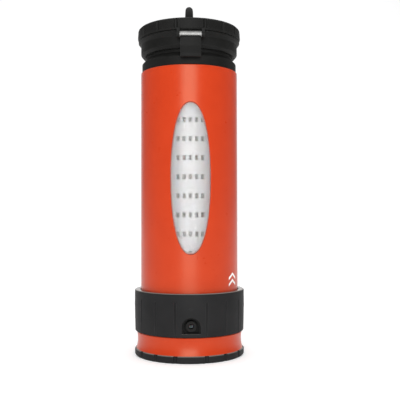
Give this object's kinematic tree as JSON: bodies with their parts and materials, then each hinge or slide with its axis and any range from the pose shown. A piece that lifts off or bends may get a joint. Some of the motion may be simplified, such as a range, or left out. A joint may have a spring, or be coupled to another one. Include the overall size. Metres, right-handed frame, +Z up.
{
  "type": "pump water purifier bottle",
  "caption": "Cylindrical drinking bottle that filters water by a pull-out pump in its base, with an oval window, a grip collar, a hinged lid with a carry loop and a front clasp.",
  "frame": {"origin": "centre of the foot's underside, on the bottle's axis", "axes": "+Z up along the bottle's axis, -Y towards the front (window, clasp and hose port), +Y towards the lid's hinge"},
  "size_m": [0.075, 0.0788, 0.2392],
  "materials": {
    "black_plastic": "fine moulded grain, satin",
    "orange_plastic": "satin moulded shell",
    "clear_plastic": "clear moulded vessel, polished",
    "white_plastic": "fine matte moulding",
    "membrane": "dull fibre",
    "resin": "cast resin",
    "carbon": "pressed granules",
    "steel": "brushed",
    "seal_rubber": "matte rubber",
    "silicone": "soft translucent rubber",
    "grey_plastic": "matte moulding"
  },
  "bodies": {
    "handle": {"foot": "black_plastic", "foot_screws": "steel", "handle_ring": "orange_plastic", "pump_rod": "steel", "rod_screw": "steel", "rod_clip": "steel"},
    "piston": {"piston": "grey_plastic", "piston_seal": "seal_rubber", "transfer_valve": "silicone"},
    "base": {"base_collar": "black_plastic", "base_body": "black_plastic", "hose_nozzle": "black_plastic", "inlet_duckbill": "silicone", "pump_cylinder": "grey_plastic", "cylinder_oring": "seal_rubber", "cylinder_head": "grey_plastic", "discharge_valve": "silicone", "rod_guide": "grey_plastic", "rod_seal": "seal_rubber"},
    "base_seal": {"base_seal": "seal_rubber"},
    "vessel": {"vessel": "clear_plastic", "sleeve": "orange_plastic", "cartridge_cage": "white_plastic", "cartridge_foot": "white_plastic", "core_tube": "white_plastic", "membrane_fibres": "membrane", "potting_block": "resin", "cartridge_cap": "white_plastic", "cartridge_oring": "seal_rubber"},
    "top_seal": {"top_oring": "seal_rubber"},
    "top": {"outlet_housing": "black_plastic", "carbon_disc": "carbon", "carbon_retainer": "white_plastic", "valve_pin": "grey_plastic", "hinge_band": "black_plastic", "hinge_pin": "steel"},
    "dial": {"outlet_dial": "grey_plastic"},
    "spout": {"drinking_spout": "silicone", "spout_oring": "seal_rubber"},
    "lid": {"flip_lid": "black_plastic", "lid_gasket": "silicone", "clasp_pin": "steel"},
    "clasp": {"clasp_lever": "black_plastic"}
  },
  "joints": [
    {"name": "handle_twist", "type": "hinge", "parent": "handle", "child": "piston", "pos_m": [0, 0, 0], "axis": [0, 0, 1], "range_deg": [0, 30]},
    {"name": "pump_stroke", "type": "slide", "parent": "piston", "child": "base", "axis": [0, 0, 1], "range_m": [0, 0.085]},
    {"name": "vessel_lift", "type": "slide", "parent": "base", "child": "base_seal", "axis": [0, 0, 1], "range_m": [0, 0.0045]},
    {"name": "vessel_turn", "type": "hinge", "parent": "base_seal", "child": "vessel", "pos_m": [0, 0, 0], "axis": [0, 0, 1], "range_deg": [0, 540]},
    {"name": "top_lift", "type": "slide", "parent": "vessel", "child": "top_seal", "axis": [0, 0, 1], "range_m": [0, 0.0045]},
    {"name": "top_turn", "type": "hinge", "parent": "top_seal", "child": "top", "pos_m": [0, 0, 0], "axis": [0, 0, 1], "range_deg": [0, 540]},
    {"name": "dial_turn", "type": "hinge", "parent": "top", "child": "dial", "pos_m": [0, 0, 0], "axis": [0, 0, 1], "range_deg": [0, 90]},
    {"name": "spout_lift", "type": "slide", "parent": "top", "child": "spout", "axis": [0, 0, 1], "range_m": [0, 0.004]},
    {"name": "lid_hinge", "type": "hinge", "parent": "top", "child": "lid", "pos_m": [0, 0.0372, 0.2095], "axis": [-1, 0, 0], "range_deg": [0, 115]},
    {"name": "clasp_pivot", "type": "hinge", "parent": "lid", "child": "clasp", "pos_m": [0, -0.0362, 0.2109], "axis": [-1, 0, 0], "range_deg": [0, 80]}
  ],
  "couplings": [
    {"joint": "vessel_lift", "follows": "vessel_turn", "m_per_rad": 0.0004775},
    {"joint": "top_lift", "follows": "top_turn", "m_per_rad": 0.0004775},
    {"joint": "spout_lift", "follows": "dial_turn", "m_per_rad": 0.0025465}
  ]
}
